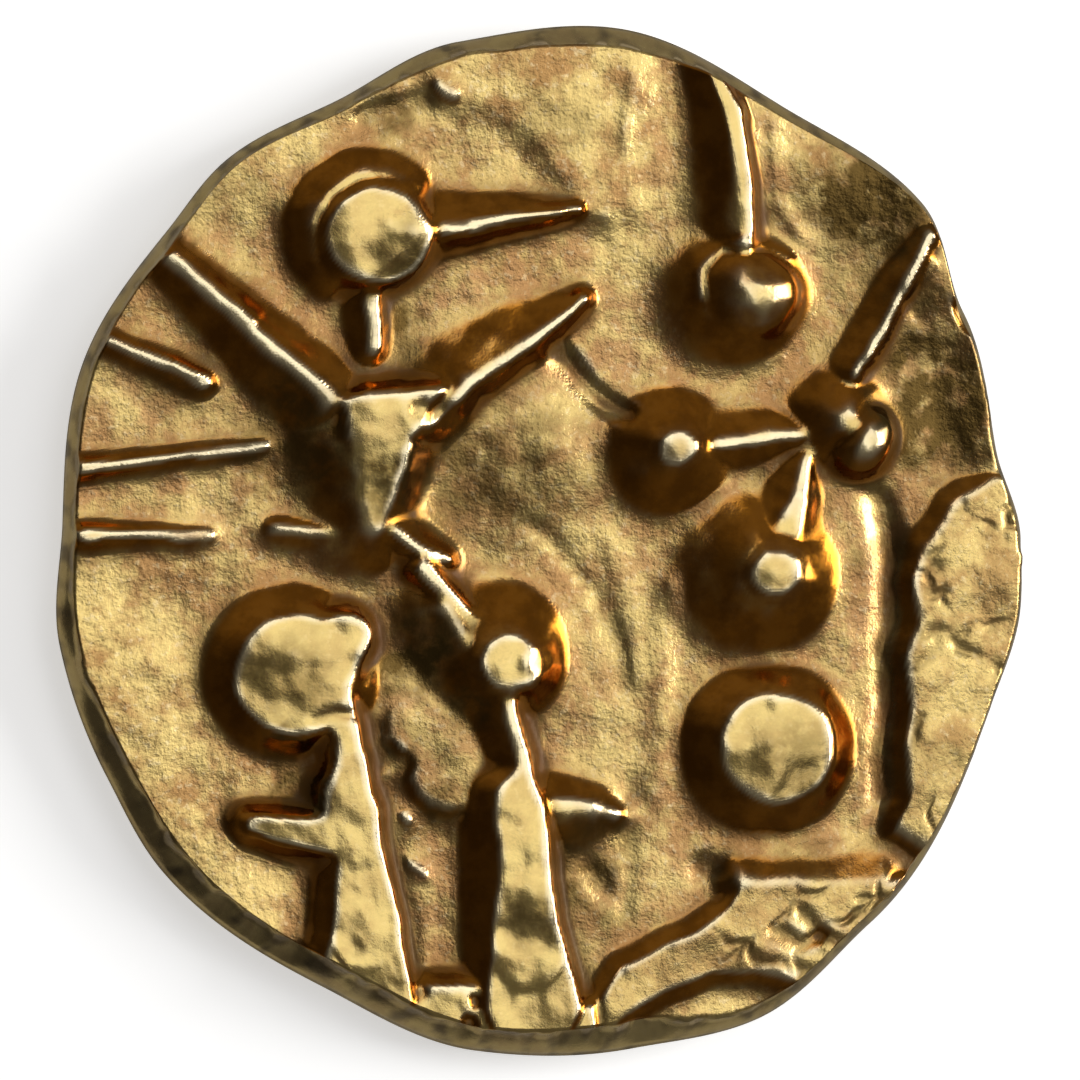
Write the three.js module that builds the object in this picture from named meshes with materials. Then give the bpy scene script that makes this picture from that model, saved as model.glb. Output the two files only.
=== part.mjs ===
import * as THREE from 'three';

// A struck gold coin that lies with its figured side up. All sizes are in millimetres.
// Heights are measured from the surface that it lies on, and +Y points to the head of the figure.

// Blank: a hammered disc, slightly hollow on the figured side and slightly domed below
const FIELD = 0.95;
const FIELD_RISE = 0.07;
const FIELD_RADIUS = 6.2;
const BELLY_HEIGHT = 0.62;
const SHOULDER_DROP = 0.13;
const SHOULDER_SHARE = 0.4;
const UNDERSIDE = [
  { share: 0.955, height: 0.34 },
  { share: 0.8, height: 0.1 },
  { share: 0.5, height: 0 },
];

// Edge of the blank by direction in degrees from +X: its reach and how far it bulges past the figured side
const EDGE = [
  { at: 0, reach: 6.16, bulge: 0.17 },
  { at: 11, reach: 5.95, bulge: 0.16 },
  { at: 28, reach: 6.13, bulge: 0.15 },
  { at: 41, reach: 6.47, bulge: 0.15 },
  { at: 60, reach: 6.26, bulge: 0.17 },
  { at: 81, reach: 6.49, bulge: 0.26 },
  { at: 100, reach: 6.33, bulge: 0.2 },
  { at: 116, reach: 6.09, bulge: 0.13 },
  { at: 131, reach: 6.23, bulge: 0.1 },
  { at: 141, reach: 6.15, bulge: 0.1 },
  { at: 159, reach: 6.26, bulge: 0.1 },
  { at: 178, reach: 6.12, bulge: 0.1 },
  { at: 192, reach: 6.29, bulge: 0.18 },
  { at: 208, reach: 6.29, bulge: 0.27 },
  { at: 220, reach: 6.37, bulge: 0.33 },
  { at: 243, reach: 6.25, bulge: 0.3 },
  { at: 262, reach: 6.45, bulge: 0.3 },
  { at: 280, reach: 6.48, bulge: 0.38 },
  { at: 295, reach: 6.62, bulge: 0.22 },
  { at: 311, reach: 6.4, bulge: 0.2 },
  { at: 340, reach: 6.14, bulge: 0.15 },
  { at: 351, reach: 6.22, bulge: 0.16 },
];

// Round forms: centre, half widths and turn in degrees of the top, width of the sloping flank,
// height at the edge of the top, how far the top is crowned above that, and the way the flank widens
const BOSSES = {
  headCollar: [[-2.26, 3.81], [0.69, 0.62], 0, 0.4, 1.26, 0, [-0.19, 0.16]],
  head: [[-2.26, 3.79], [0.72, 0.64], 0, 0.07, 1.31, 0.05, [0, 0]],
  tailDisc: [[-3.29, -1.68], [0.78, 0.75], 0, 0.42, 1.3, 0.02, [0, 0.05]],
  hip: [[-2.39, 0.09], [0.05, 0.05], 0, 0.71, 1.18, 0, [-0.1, -0.1]],
  handBead: [[0.38, 3.02], [0.09, 0.09], 0, 0.1, 1.17, 0, [0, 0]],
  kneeCollar: [[-0.56, -1.53], [0.43, 0.4], 0, 0.62, 1.28, 0, [-0.17, 0.15]],
  kneePellet: [[-0.57, -1.53], [0.42, 0.39], 0, 0.06, 1.33, 0.02, [0, 0]],
  clubCollar: [[2.5, 3.06], [0.54, 0.45], 0, 0.57, 1.22, 0, [-0.2, 0.06]],
  clubPellet: [[2.57, 3.09], [0.58, 0.54], 0, 0.05, 1.23, 0.19, [0, 0]],
  linkCollar: [[1.56, 1.13], [0.31, 0.28], 0, 0.65, 1.27, 0, [-0.07, 0]],
  linkPellet: [[1.55, 1.14], [0.29, 0.26], 0, 0.07, 1.32, 0.02, [0, 0]],
  slantCollar: [[3.74, 1.48], [0.12, 0.11], 0, 0.69, 1.3, 0, [-0.1, 0.06]],
  slantPellet: [[4.03, 1.23], [0.32, 0.44], -30, 0.1, 1.22, 0.16, [0, 0]],
  dropCollar: [[2.81, -0.43], [0.42, 0.39], 0, 0.78, 1.3, 0, [-0.23, 0]],
  dropPellet: [[2.82, -0.43], [0.35, 0.33], 0, 0.06, 1.36, 0.02, [0, 0]],
  flatPellet: [[2.84, -2.59], [0.73, 0.69], 0, 0.47, 1.32, 0.025, [-0.07, -0.04]],
};

// Strokes, point by point: x, y, half width of the crest, widths of its left and right flank, height
const STROKES = {
  beak: [[-1.51, 3.87, 0.06, 0.6, 0.38, 1.27], [0.34, 4.12, 0.04, 0.12, 0.11, 1.18]],
  neck: [[-2.28, 3.11, 0.1, 0.12, 0.38, 1.2], [-2.25, 2.41, 0.09, 0.15, 0.4, 1.15]],
  torso: [[-2.21, 1.16, 0.38, 0.5, 1.05, 1.3], [-2.27, 0.19, 0.09, 0.5, 1.05, 1.25]],
  leftArm: [
    [-2.84, 1.76, 0.07, 0.8, 0.57, 1.29],
    [-3.87, 2.61, 0.07, 0.53, 0.38, 1.26],
    [-4.83, 3.48, 0.07, 0.33, 0.21, 1.21],
  ],
  rightArm: [
    [-1.88, 1.26, 0.05, 0.62, 0.38, 1.27],
    [-1.38, 1.63, 0.05, 0.82, 0.35, 1.27],
    [-1.08, 1.96, 0.05, 0.82, 0.33, 1.26],
    [-0.27, 2.47, 0.05, 0.65, 0.28, 1.23],
    [0.42, 3.02, 0.05, 0.17, 0.12, 1.17],
  ],
  hipSpur: [[-2.36, 0.04, 0.03, 0.57, 0.35, 1.15], [-3.5, 0.18, 0.03, 0.35, 0.17, 1.08]],
  hipRidge: [
    [-2.22, 0.23, 0.05, 0.47, 0.35, 1.22],
    [-1.67, -0.13, 0.05, 0.35, 0.28, 1.2],
    [-1.31, -0.26, 0.05, 0.17, 0.15, 1.15],
  ],
  blade: [[-1.66, -0.37, 0.12, 0.2, 0.17, 1.23], [-1, -1.02, 0.07, 0.15, 0.12, 1.18]],
  leftLeg: [
    [-2.66, -1.24, 0.35, 0.11, 0.23, 1.3],
    [-2.8, -1.87, 0.23, 0.1, 0.23, 1.3],
    [-2.61, -2.47, 0.19, 0.1, 0.23, 1.3],
    [-2.56, -2.79, 0.25, 0.1, 0.2, 1.3],
    [-2.61, -3.17, 0.34, 0.1, 0.2, 1.3],
    [-2.59, -3.44, 0.39, 0.1, 0.2, 1.3],
    [-2.47, -3.79, 0.31, 0.09, 0.29, 1.3],
    [-2.37, -4.87, 0.47, 0.09, 0.31, 1.29],
    [-2.41, -5.62, 0.64, 0.1, 0.29, 1.26],
  ],
  tailProng: [[-3.83, -3.53, 0.1, 0.23, 0.23, 1.27], [-2.82, -3.67, 0.25, 0.23, 0.2, 1.3]],
  rightLeg: [
    [-0.55, -1.99, 0.09, 0.12, 0.8, 1.3],
    [-0.36, -2.84, 0.1, 0.1, 0.62, 1.3],
    [-0.45, -3.24, 0.31, 0.1, 0.53, 1.3],
    [-0.37, -3.74, 0.33, 0.09, 0.51, 1.3],
    [-0.35, -4.49, 0.4, 0.09, 0.49, 1.3],
    [-0.32, -5.06, 0.49, 0.09, 0.42, 1.29],
    [-0.25, -5.74, 0.61, 0.1, 0.38, 1.26],
  ],
  footSpur: [
    [-0.18, -3.27, 0.07, 0.4, 0.78, 1.22],
    [0.48, -3.32, 0.05, 0.31, 0.6, 1.15],
    [1.04, -3.47, 0.01, 0.15, 0.17, 1.04],
  ],
  link: [[1.84, 1.18, 0.05, 0.57, 0.44, 1.2], [3.19, 1.31, 0.04, 0.4, 0.29, 1.13]],
  dropPoint: [
    [2.88, -0.24, 0.2, 0.66, 0.57, 1.26],
    [3.15, 0.51, 0.09, 0.49, 0.33, 1.2],
    [3.32, 1.13, 0.04, 0.29, 0.17, 1.1],
  ],
  club: [
    [1.91, 6.06, 0.04, 0.12, 0.3, 1.2],
    [2.32, 5.36, 0.11, 0.11, 0.57, 1.24],
    [2.46, 4.44, 0.09, 0.11, 0.75, 1.25],
    [2.5, 3.63, 0.06, 0.11, 0.72, 1.25],
  ],
  slantBar: [
    [4.84, 3.81, 0.05, 0.12, 0.38, 1.23],
    [4.41, 2.91, 0.05, 0.12, 0.42, 1.23],
    [3.89, 2.06, 0.05, 0.12, 0.42, 1.21],
  ],
  upperRay: [[-5.63, 2.48, 0.06, 0.12, 0.16, 1.15], [-4.43, 1.98, 0.1, 0.12, 0.2, 1.13]],
  middleRay: [[-5.94, 0.89, 0.09, 0.12, 0.15, 1.17], [-3.62, 1.18, 0.05, 0.11, 0.12, 1.05]],
  lowerRay: [[-5.92, 0.06, 0.1, 0.12, 0.15, 1.17], [-4.33, 0.03, 0.06, 0.11, 0.12, 1.04]],
  channelBank: [[2.43, -4.34, 0.04, 0.55, 0.25, 1.19], [4.23, -4.32, 0.04, 0.55, 0.25, 1.18]],
  thigh: [[-1.35, -0.82, 0.05, 0.38, 0.93, 1.22], [-0.7, -1.87, 0.05, 0.38, 0.88, 1.26]],
  legPocket: [
    [-2.1, -1.59, 0.05, 0.23, 0.23, 1],
    [-1.73, -2.27, 0.33, 0.25, 0.2, 1.04],
    [-1.27, -2.77, 0.55, 0.25, 0.28, 1.08],
  ],
};

// Flat areas, corner by corner; those at the border run out past the edge of the blank
const PLATES = {
  chest: {
    outline: [
      [-2.72, 1.76], [-2.34, 1.88], [-1.41, 1.91], [-1.6, 1.61], [-1.73, 1.31], [-2.47, 1.13],
      [-2.66, 1.26],
    ],
    flank: 0.23,
    top: 1.31,
  },
  groundLine: {
    outline: [
      [-2.99, -5.12], [-2.67, -5.43], [-1.78, -5.53], [-1.05, -5.56], [0.49, -5.78], [0.59, -6.74],
      [-3.25, -6.74],
    ],
    flank: 0.23,
    top: 1.22,
  },
  rightBorder: {
    outline: [
      [5.71, 0.76], [5.14, 0.43], [4.82, -0.09], [4.64, -0.57], [4.72, -1.02], [4.54, -1.49],
      [4.64, -2.07], [4.5, -2.64], [4.59, -3.24], [4.43, -3.62], [4.82, -3.87], [6.48, -3.87],
      [6.48, 0.76],
    ],
    flank: 0.35,
    top: 1.16,
  },
  bottomBorder: {
    outline: [
      [4.49, -4.29], [2.44, -4.29], [2.23, -4.64], [1.77, -4.93], [1.3, -5.14], [0.88, -5.33],
      [0.62, -5.72], [0.67, -6.12], [1.06, -5.87], [1.41, -5.64], [2.08, -5.42], [2.59, -5.42],
      [3.15, -5.52], [3.79, -5.37], [4.49, -4.99],
    ],
    flank: 0.25,
    top: 1.18,
  },
  topBorder: {
    outline: [
      [-1.45, 5.61], [-0.65, 5.38], [-0.24, 5.06], [0.14, 4.61], [0.47, 4.11], [0.7, 4.06],
      [0.91, 4.88], [1.06, 5.63], [1.26, 6.76], [-1.47, 6.76],
    ],
    flank: 0.28,
    top: 1.045,
  },
  upperRightBorder: {
    outline: [
      [4.54, 4.57], [4.82, 3.94], [5.14, 3.19], [6.36, 3.19], [5.72, 5.01],
    ],
    flank: 1,
    top: 1.14,
  },
  rightLip: {
    outline: [
      [5.44, 2.69], [5.62, 1.76], [5.75, 0.88], [6.62, 0.88], [6.62, 2.69],
    ],
    flank: 0.62,
    top: 1.12,
  },
};

// Steepness of every flank where it meets the ground, as a share of its mean steepness
const FOOT_SLOPE = 0.45;

// Facets of the figured side: finest grid that they are picked from, and how far one may stand off the form
const GRID_CELLS = 256;
const FACET_TOLERANCE = 0.031;

const { clamp, degToRad, euclideanModulo, lerp, smoothstep } = THREE.MathUtils;

// Reach and bulge of the edge in any direction, eased from one listed direction to the next
function edgeAt(angle) {
  const degrees = euclideanModulo(THREE.MathUtils.radToDeg(angle), 360);
  const next = EDGE.findIndex((mark) => mark.at > degrees);
  const after = next < 0 ? EDGE[0] : EDGE[next];
  const before = EDGE.at(next < 0 ? -1 : next - 1);
  const span = next < 0 ? 360 - before.at : after.at - before.at;
  const share = smoothstep((degrees - before.at) / span, 0, 1);
  return { reach: lerp(before.reach, after.reach, share), bulge: lerp(before.bulge, after.bulge, share) };
}

// Height on a form whose top edge is so far away: level inside, then a slope that runs out on the ground
function flankHeight(ground, { top, flank }, distance) {
  const share = clamp(1 - distance / flank, 0, 1);
  return ground + (top - ground) * share * lerp(share * (2 - share), 1, FOOT_SLOPE);
}

function bossHeight([at, half, turn, flank, edge, crown, lean], ground, point) {
  const offset = point.clone().sub(new THREE.Vector2(...at));
  const away = Math.max(offset.length(), Number.EPSILON);
  const width = flank + offset.dot(new THREE.Vector2(...lean)) / away;
  offset.rotateAround(new THREE.Vector2(), -degToRad(turn));
  const rim = Math.max(Math.hypot(offset.x / half[0], offset.y / half[1]), Number.EPSILON);
  const top = edge + crown * Math.max(1 - rim * rim, 0);
  return flankHeight(ground, { top, flank: width }, away * (1 - 1 / rim));
}

function segmentShare(start, end, point) {
  const along = end.clone().sub(start);
  return clamp(point.clone().sub(start).dot(along) / along.lengthSq(), 0, 1);
}

// Highest flank that a stroke gives at a point, taken over its straight pieces
function strokeHeight(stroke, ground, point) {
  let height = ground;
  for (let piece = 1; piece < stroke.length; piece += 1) {
    const [start, end] = [stroke[piece - 1], stroke[piece]];
    const from = new THREE.Vector2(start[0], start[1]);
    const to = new THREE.Vector2(end[0], end[1]);
    const share = segmentShare(from, to, point);
    const [half, left, right, top] = [2, 3, 4, 5].map((column) => lerp(start[column], end[column], share));
    const along = to.clone().sub(from).normalize();
    const offset = point.clone().sub(from.lerp(to, share));
    const leftward = along.cross(offset) / Math.max(offset.length(), Number.EPSILON);
    const flank = lerp(right, left, (1 + leftward) / 2);
    height = Math.max(height, flankHeight(ground, { top, flank }, offset.length() - half));
  }
  return height;
}

// Distance to an outline, negative inside it
function plateDistance(outline, point) {
  const corners = outline.map(([x, y]) => new THREE.Vector2(x, y));
  let nearest = Infinity;
  let inside = false;
  corners.forEach((end, index) => {
    const start = corners.at(index - 1);
    const share = segmentShare(start, end, point);
    nearest = Math.min(nearest, point.distanceTo(start.clone().lerp(end, share)));
    const crossing = start.x + ((point.y - start.y) * (end.x - start.x)) / (end.y - start.y);
    if (start.y > point.y !== end.y > point.y && point.x < crossing) inside = !inside;
  });
  return inside ? -nearest : nearest;
}

// Height of the figured side: the highest of the hollow ground and every form that stands on it
function reliefHeight(x, y) {
  const point = new THREE.Vector2(x, y);
  const ground = FIELD + FIELD_RISE * (point.length() / FIELD_RADIUS) ** 2;
  return Math.max(
    ground,
    ...Object.values(BOSSES).map((boss) => bossHeight(boss, ground, point)),
    ...Object.values(STROKES).map((stroke) => strokeHeight(stroke, ground, point)),
    ...Object.values(PLATES).map((plate) => flankHeight(ground, plate, plateDistance(plate.outline, point))),
  );
}

// Grid over the figured side: square rings of the grid become rings of the blank's outline
const GRID_SIDE = GRID_CELLS + 1;

function gridPoint(column, row) {
  const across = (2 * column) / GRID_CELLS - 1;
  const up = (2 * row) / GRID_CELLS - 1;
  const ring = Math.max(Math.abs(across), Math.abs(up));
  if (ring === 0) return new THREE.Vector3(0, 0, reliefHeight(0, 0));
  const sideways = Math.abs(across) >= Math.abs(up);
  const quarter = sideways ? (Math.PI / 4) * (up / across) : Math.PI / 2 - (Math.PI / 4) * (across / up);
  const angle = (sideways ? across : up) < 0 ? quarter + Math.PI : quarter;
  const { reach, bulge } = edgeAt(angle);
  const radius = ring * (reach - bulge);
  const [x, y] = [radius * Math.cos(angle), radius * Math.sin(angle)];
  return new THREE.Vector3(x, y, reliefHeight(x, y));
}

const grid = [];
for (let row = 0; row < GRID_SIDE; row += 1) {
  for (let column = 0; column < GRID_SIDE; column += 1) grid.push(gridPoint(column, row));
}

// Right-angled facets [a, b, c] with their long side from a to b, halved from c to its middle
const middle = (a, b) => (a + b) / 2;
const halves = ([a, b, c]) => [[c, a, middle(a, b)], [b, c, middle(a, b)]];

function facetLevels() {
  const [nearLeft, nearRight] = [0, GRID_CELLS];
  const [farLeft, farRight] = [GRID_CELLS * GRID_SIDE, GRID_SIDE * GRID_SIDE - 1];
  const levels = [[[farRight, nearLeft, nearRight], [nearLeft, farRight, farLeft]]];
  while (levels.length < 2 * Math.log2(GRID_CELLS)) levels.push(levels.at(-1).flatMap(halves));
  return levels;
}

// How far the form stands off each long side at its middle, counting the facets that lie within
function longSideErrors(levels) {
  const errors = new Float32Array(grid.length);
  levels.toReversed().forEach((facets, stepsUp) => {
    for (const [a, b, c] of facets) {
      const m = middle(a, b);
      const own = grid[a].clone().lerp(grid[b], 0.5).distanceTo(grid[m]);
      const within = stepsUp === 0 ? 0 : Math.max(errors[middle(b, c)], errors[middle(c, a)]);
      errors[m] = Math.max(errors[m], own, within);
    }
  });
  return errors;
}

function figuredSide() {
  const levels = facetLevels();
  const errors = longSideErrors(levels);
  const kept = [];
  const pick = (facet, level) => {
    const split = level < levels.length && errors[middle(facet[0], facet[1])] > FACET_TOLERANCE;
    if (split) halves(facet).forEach((half) => pick(half, level + 1));
    else kept.push(facet);
  };
  levels[0].forEach((facet) => pick(facet, 0));
  return kept;
}

// Corner loop around the figured side, counter-clockwise
function borderLoop(facets) {
  const onBorder = (corner) => [corner % GRID_SIDE, Math.floor(corner / GRID_SIDE)]
    .some((place) => place === 0 || place === GRID_CELLS);
  const corners = [...new Set(facets.flat())].filter(onBorder);
  return corners.sort((a, b) => Math.atan2(grid[a].y, grid[a].x) - Math.atan2(grid[b].y, grid[b].x));
}

// Loops below the figured side at one direction: shoulder, widest line, then the domed underside
function edgeProfile(corner) {
  const { x, y, z } = grid[corner];
  const angle = Math.atan2(y, x);
  const { reach, bulge } = edgeAt(angle);
  const [cosine, sine] = [Math.cos(angle), Math.sin(angle)];
  const at = (radius, height) => new THREE.Vector3(radius * cosine, radius * sine, height);
  return [
    at(reach - SHOULDER_SHARE * bulge, z - SHOULDER_DROP),
    at(reach, BELLY_HEIGHT),
    ...UNDERSIDE.map(({ share, height }) => at(reach * share, height)),
  ];
}

function coinGeometry() {
  const facets = figuredSide();
  const border = borderLoop(facets);
  const profiles = border.map(edgeProfile);
  const points = [...grid];
  let upper = border;
  for (const ring of profiles[0].keys()) {
    const lower = profiles.map((profile) => points.push(profile[ring]) - 1);
    lower.forEach((corner, index) => {
      const before = index - 1;
      facets.push([upper.at(before), lower.at(before), corner], [upper.at(before), corner, upper[index]]);
    });
    upper = lower;
  }
  const rest = THREE.ShapeUtils.triangulateShape(upper.map((corner) => points[corner]), []);
  rest.forEach(([a, b, c]) => facets.push([upper[c], upper[b], upper[a]]));

  const used = [...new Set(facets.flat())];
  const places = new Map(used.map((corner, index) => [corner, index]));
  const geometry = new THREE.BufferGeometry().setFromPoints(used.map((corner) => points[corner]));
  geometry.setIndex(facets.flat().map((corner) => places.get(corner)));
  geometry.computeVertexNormals();
  return geometry;
}

const gold = new THREE.MeshStandardMaterial({ color: 0xcaa14e, roughness: 0.35, metalness: 1 });
const coin = new THREE.Mesh(coinGeometry(), gold);
coin.name = 'coin';

const part = new THREE.Group();
part.add(coin);

export default part;
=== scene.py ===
import math

import bmesh
import bpy
import numpy as np
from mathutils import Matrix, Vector, noise


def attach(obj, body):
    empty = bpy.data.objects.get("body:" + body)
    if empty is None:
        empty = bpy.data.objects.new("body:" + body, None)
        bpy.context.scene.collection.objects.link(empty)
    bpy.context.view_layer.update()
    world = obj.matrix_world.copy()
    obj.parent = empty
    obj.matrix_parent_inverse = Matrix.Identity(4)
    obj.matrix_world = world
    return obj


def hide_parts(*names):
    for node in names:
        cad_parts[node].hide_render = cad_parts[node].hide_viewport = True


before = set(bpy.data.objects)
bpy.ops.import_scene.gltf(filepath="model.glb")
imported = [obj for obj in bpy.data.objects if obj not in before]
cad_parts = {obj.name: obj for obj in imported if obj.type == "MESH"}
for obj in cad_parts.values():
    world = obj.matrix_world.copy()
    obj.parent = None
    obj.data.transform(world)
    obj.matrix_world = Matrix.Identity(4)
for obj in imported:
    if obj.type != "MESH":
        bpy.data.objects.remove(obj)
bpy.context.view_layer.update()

# Blank of the coin
# A lump of gold alloy hammered to an uneven disc, a little hollow on the struck side and domed below.
# Its edge bulges past the struck face where the metal was squeezed out between the dies.
MM = 0.001
FIELD = 0.95
FIELD_RISE = 0.07
FIELD_RADIUS = 6.2
BELLY_HEIGHT = 0.62

# Edge by direction, degrees counter-clockwise from +X: reach and bulge past the struck face, in millimetres
EDGE = np.array([
    (0, 6.16, 0.17), (11, 5.95, 0.16), (28, 6.13, 0.15), (41, 6.47, 0.15), (60, 6.26, 0.17),
    (81, 6.49, 0.26), (100, 6.33, 0.20), (116, 6.09, 0.13), (131, 6.23, 0.10), (141, 6.15, 0.10),
    (159, 6.26, 0.10), (178, 6.12, 0.10), (192, 6.29, 0.18), (208, 6.29, 0.27), (220, 6.37, 0.33),
    (243, 6.25, 0.30), (262, 6.45, 0.30), (280, 6.48, 0.38), (295, 6.62, 0.22), (311, 6.40, 0.20),
    (340, 6.14, 0.15), (351, 6.22, 0.16), (360, 6.16, 0.17),
])


def smooth(share):
    """Eases a share that runs from 0 to 1, and holds it there outside."""
    share = np.clip(share, 0.0, 1.0)
    return share * share * (3.0 - 2.0 * share)


def edge_at(angle):
    """Reach and bulge of the blank's edge at these angles, eased from one listed direction to the next."""
    degrees = np.degrees(angle) % 360.0
    after = np.clip(np.searchsorted(EDGE[:, 0], degrees, side="right"), 1, len(EDGE) - 1)
    before = EDGE[after - 1]
    share = smooth((degrees - before[:, 0]) / (EDGE[after, 0] - before[:, 0]))
    return [before[:, column] + (EDGE[after, column] - before[:, column]) * share for column in (1, 2)]


def wrap_to_blank(across, up):
    """A square grid becomes a disc with the blank's outline."""
    disc_x, disc_y = across * np.sqrt(1 - up * up / 2), up * np.sqrt(1 - across * across / 2)
    angle = np.arctan2(disc_y, disc_x)
    reach, bulge = edge_at(angle)
    radius = np.hypot(disc_x, disc_y) * (reach - bulge)
    return radius * np.cos(angle), radius * np.sin(angle)


# Relief
# The design that the upper die pressed into the blank: a bird-headed figure with bent arms and straddled
# legs, rays at its back, and pellets with bars before it. The forms stand up from the sunk ground.
FOOT_SLOPE = 0.45
NEAR_ZERO = 1e-6

# Round forms: centre, half widths and turn of the top, flank width, edge height, crown, and lean of the flank
BOSSES = {
    "head_collar": ((-2.26, 3.81), (0.69, 0.62), 0, 0.4, 1.26, 0.0, (-0.19, 0.16)),
    "head": ((-2.26, 3.79), (0.72, 0.64), 0, 0.07, 1.31, 0.05, (0.0, 0.0)),
    "tail_disc": ((-3.29, -1.68), (0.78, 0.75), 0, 0.42, 1.3, 0.02, (0.0, 0.05)),
    "hip": ((-2.39, 0.09), (0.05, 0.05), 0, 0.71, 1.18, 0, (-0.1, -0.1)),
    "hand_bead": ((0.38, 3.02), (0.09, 0.09), 0, 0.1, 1.17, 0, (0.0, 0.0)),
    "knee_collar": ((-0.56, -1.53), (0.43, 0.4), 0, 0.62, 1.28, 0, (-0.17, 0.15)),
    "knee_pellet": ((-0.57, -1.53), (0.42, 0.39), 0, 0.06, 1.33, 0.02, (0.0, 0.0)),
    "club_collar": ((2.5, 3.06), (0.54, 0.45), 0, 0.57, 1.22, 0.0, (-0.2, 0.06)),
    "club_pellet": ((2.57, 3.09), (0.58, 0.54), 0, 0.05, 1.23, 0.19, (0.0, 0.0)),
    "link_collar": ((1.56, 1.13), (0.31, 0.28), 0, 0.65, 1.27, 0.0, (-0.07, 0.0)),
    "link_pellet": ((1.55, 1.14), (0.29, 0.26), 0, 0.07, 1.32, 0.02, (0.0, 0.0)),
    "slant_collar": ((3.74, 1.48), (0.12, 0.11), 0, 0.69, 1.3, 0.0, (-0.1, 0.06)),
    "slant_pellet": ((4.03, 1.23), (0.32, 0.44), -30, 0.1, 1.22, 0.16, (0.0, 0.0)),
    "drop_collar": ((2.81, -0.43), (0.42, 0.39), 0, 0.78, 1.3, 0.0, (-0.23, 0.0)),
    "drop_pellet": ((2.82, -0.43), (0.35, 0.33), 0, 0.06, 1.36, 0.02, (0.0, 0.0)),
    "flat_pellet": ((2.84, -2.59), (0.73, 0.69), 0, 0.47, 1.32, 0.025, (-0.07, -0.04)),
}

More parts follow.
